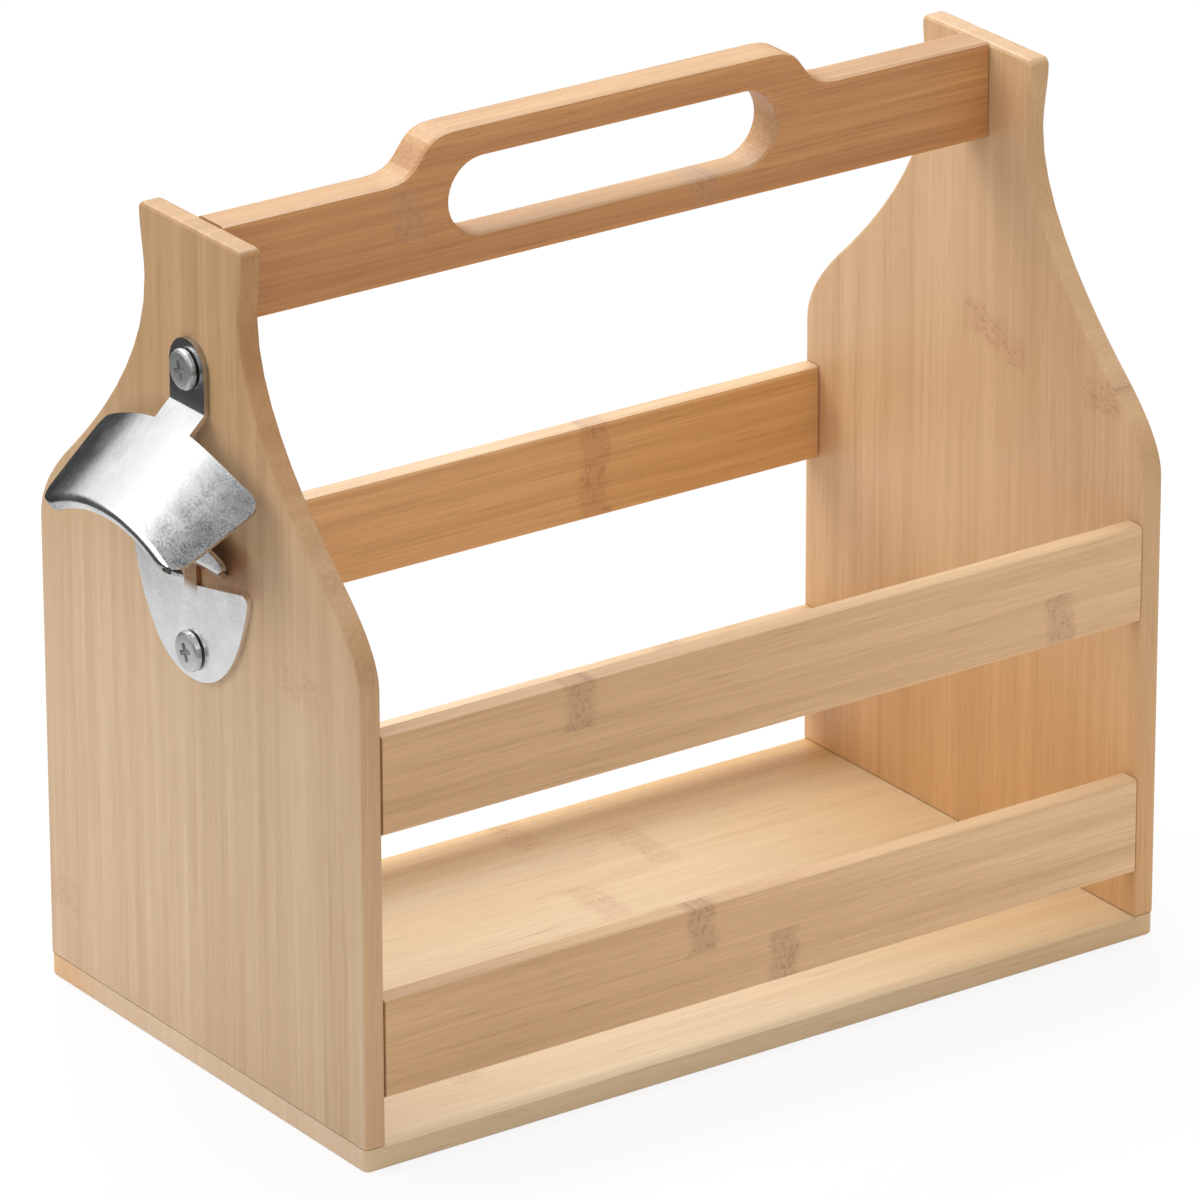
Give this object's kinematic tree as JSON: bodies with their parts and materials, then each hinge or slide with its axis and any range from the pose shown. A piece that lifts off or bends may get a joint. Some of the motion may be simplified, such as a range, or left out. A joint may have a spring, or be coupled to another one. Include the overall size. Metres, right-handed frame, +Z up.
{
  "type": "bottle caddy",
  "caption": "Open bamboo bottle carrier with shaped gables, slatted sides, a handle board with a finger slot, and a steel wall-type bottle opener on one end.",
  "frame": {"origin": "centre of the floor panel's underside", "axes": "+X along the caddy, away from the bottle opener; -Y the front; +Z up"},
  "size_m": [0.3101, 0.165, 0.2703],
  "materials": {
    "gable_bamboo": "light bamboo with upright grain, satin",
    "slat_bamboo": "light bamboo with lengthwise grain and node marks, satin",
    "handle_bamboo": "darker bamboo with lengthwise grain, satin",
    "floor_bamboo": "pale bamboo with lengthwise grain, satin",
    "dowel_wood": "plain pale wood",
    "opener_steel": "pressed and tumbled sheet, semi bright",
    "screw_steel": "plated, bright"
  },
  "bodies": {
    "root": {"floor_panel": "floor_bamboo", "left_gable": "gable_bamboo", "right_gable": "gable_bamboo", "front_lower_slat": "slat_bamboo", "front_upper_slat": "slat_bamboo", "rear_lower_slat": "slat_bamboo", "rear_upper_slat": "slat_bamboo", "handle_board": "handle_bamboo", "bottle_opener": "opener_steel", "opener_upper_screw": "screw_steel", "opener_lower_screw": "screw_steel", "front_lower_slat_dowel_left_low": "dowel_wood", "front_lower_slat_dowel_left_high": "dowel_wood", "front_lower_slat_dowel_right_low": "dowel_wood", "front_lower_slat_dowel_right_high": "dowel_wood", "front_upper_slat_dowel_left_low": "dowel_wood", "front_upper_slat_dowel_left_high": "dowel_wood", "front_upper_slat_dowel_right_low": "dowel_wood", "front_upper_slat_dowel_right_high": "dowel_wood", "rear_lower_slat_dowel_left_low": "dowel_wood", "rear_lower_slat_dowel_left_high": "dowel_wood", "rear_lower_slat_dowel_right_low": "dowel_wood", "rear_lower_slat_dowel_right_high": "dowel_wood", "rear_upper_slat_dowel_left_low": "dowel_wood", "rear_upper_slat_dowel_left_high": "dowel_wood", "rear_upper_slat_dowel_right_low": "dowel_wood", "rear_upper_slat_dowel_right_high": "dowel_wood", "handle_board_dowel_left_low": "dowel_wood", "handle_board_dowel_left_high": "dowel_wood", "handle_board_dowel_right_low": "dowel_wood", "handle_board_dowel_right_high": "dowel_wood", "floor_screw_left_1": "screw_steel", "floor_screw_left_2": "screw_steel", "floor_screw_left_3": "screw_steel", "floor_screw_right_1": "screw_steel", "floor_screw_right_2": "screw_steel", "floor_screw_right_3": "screw_steel"}
  },
  "joints": []
}
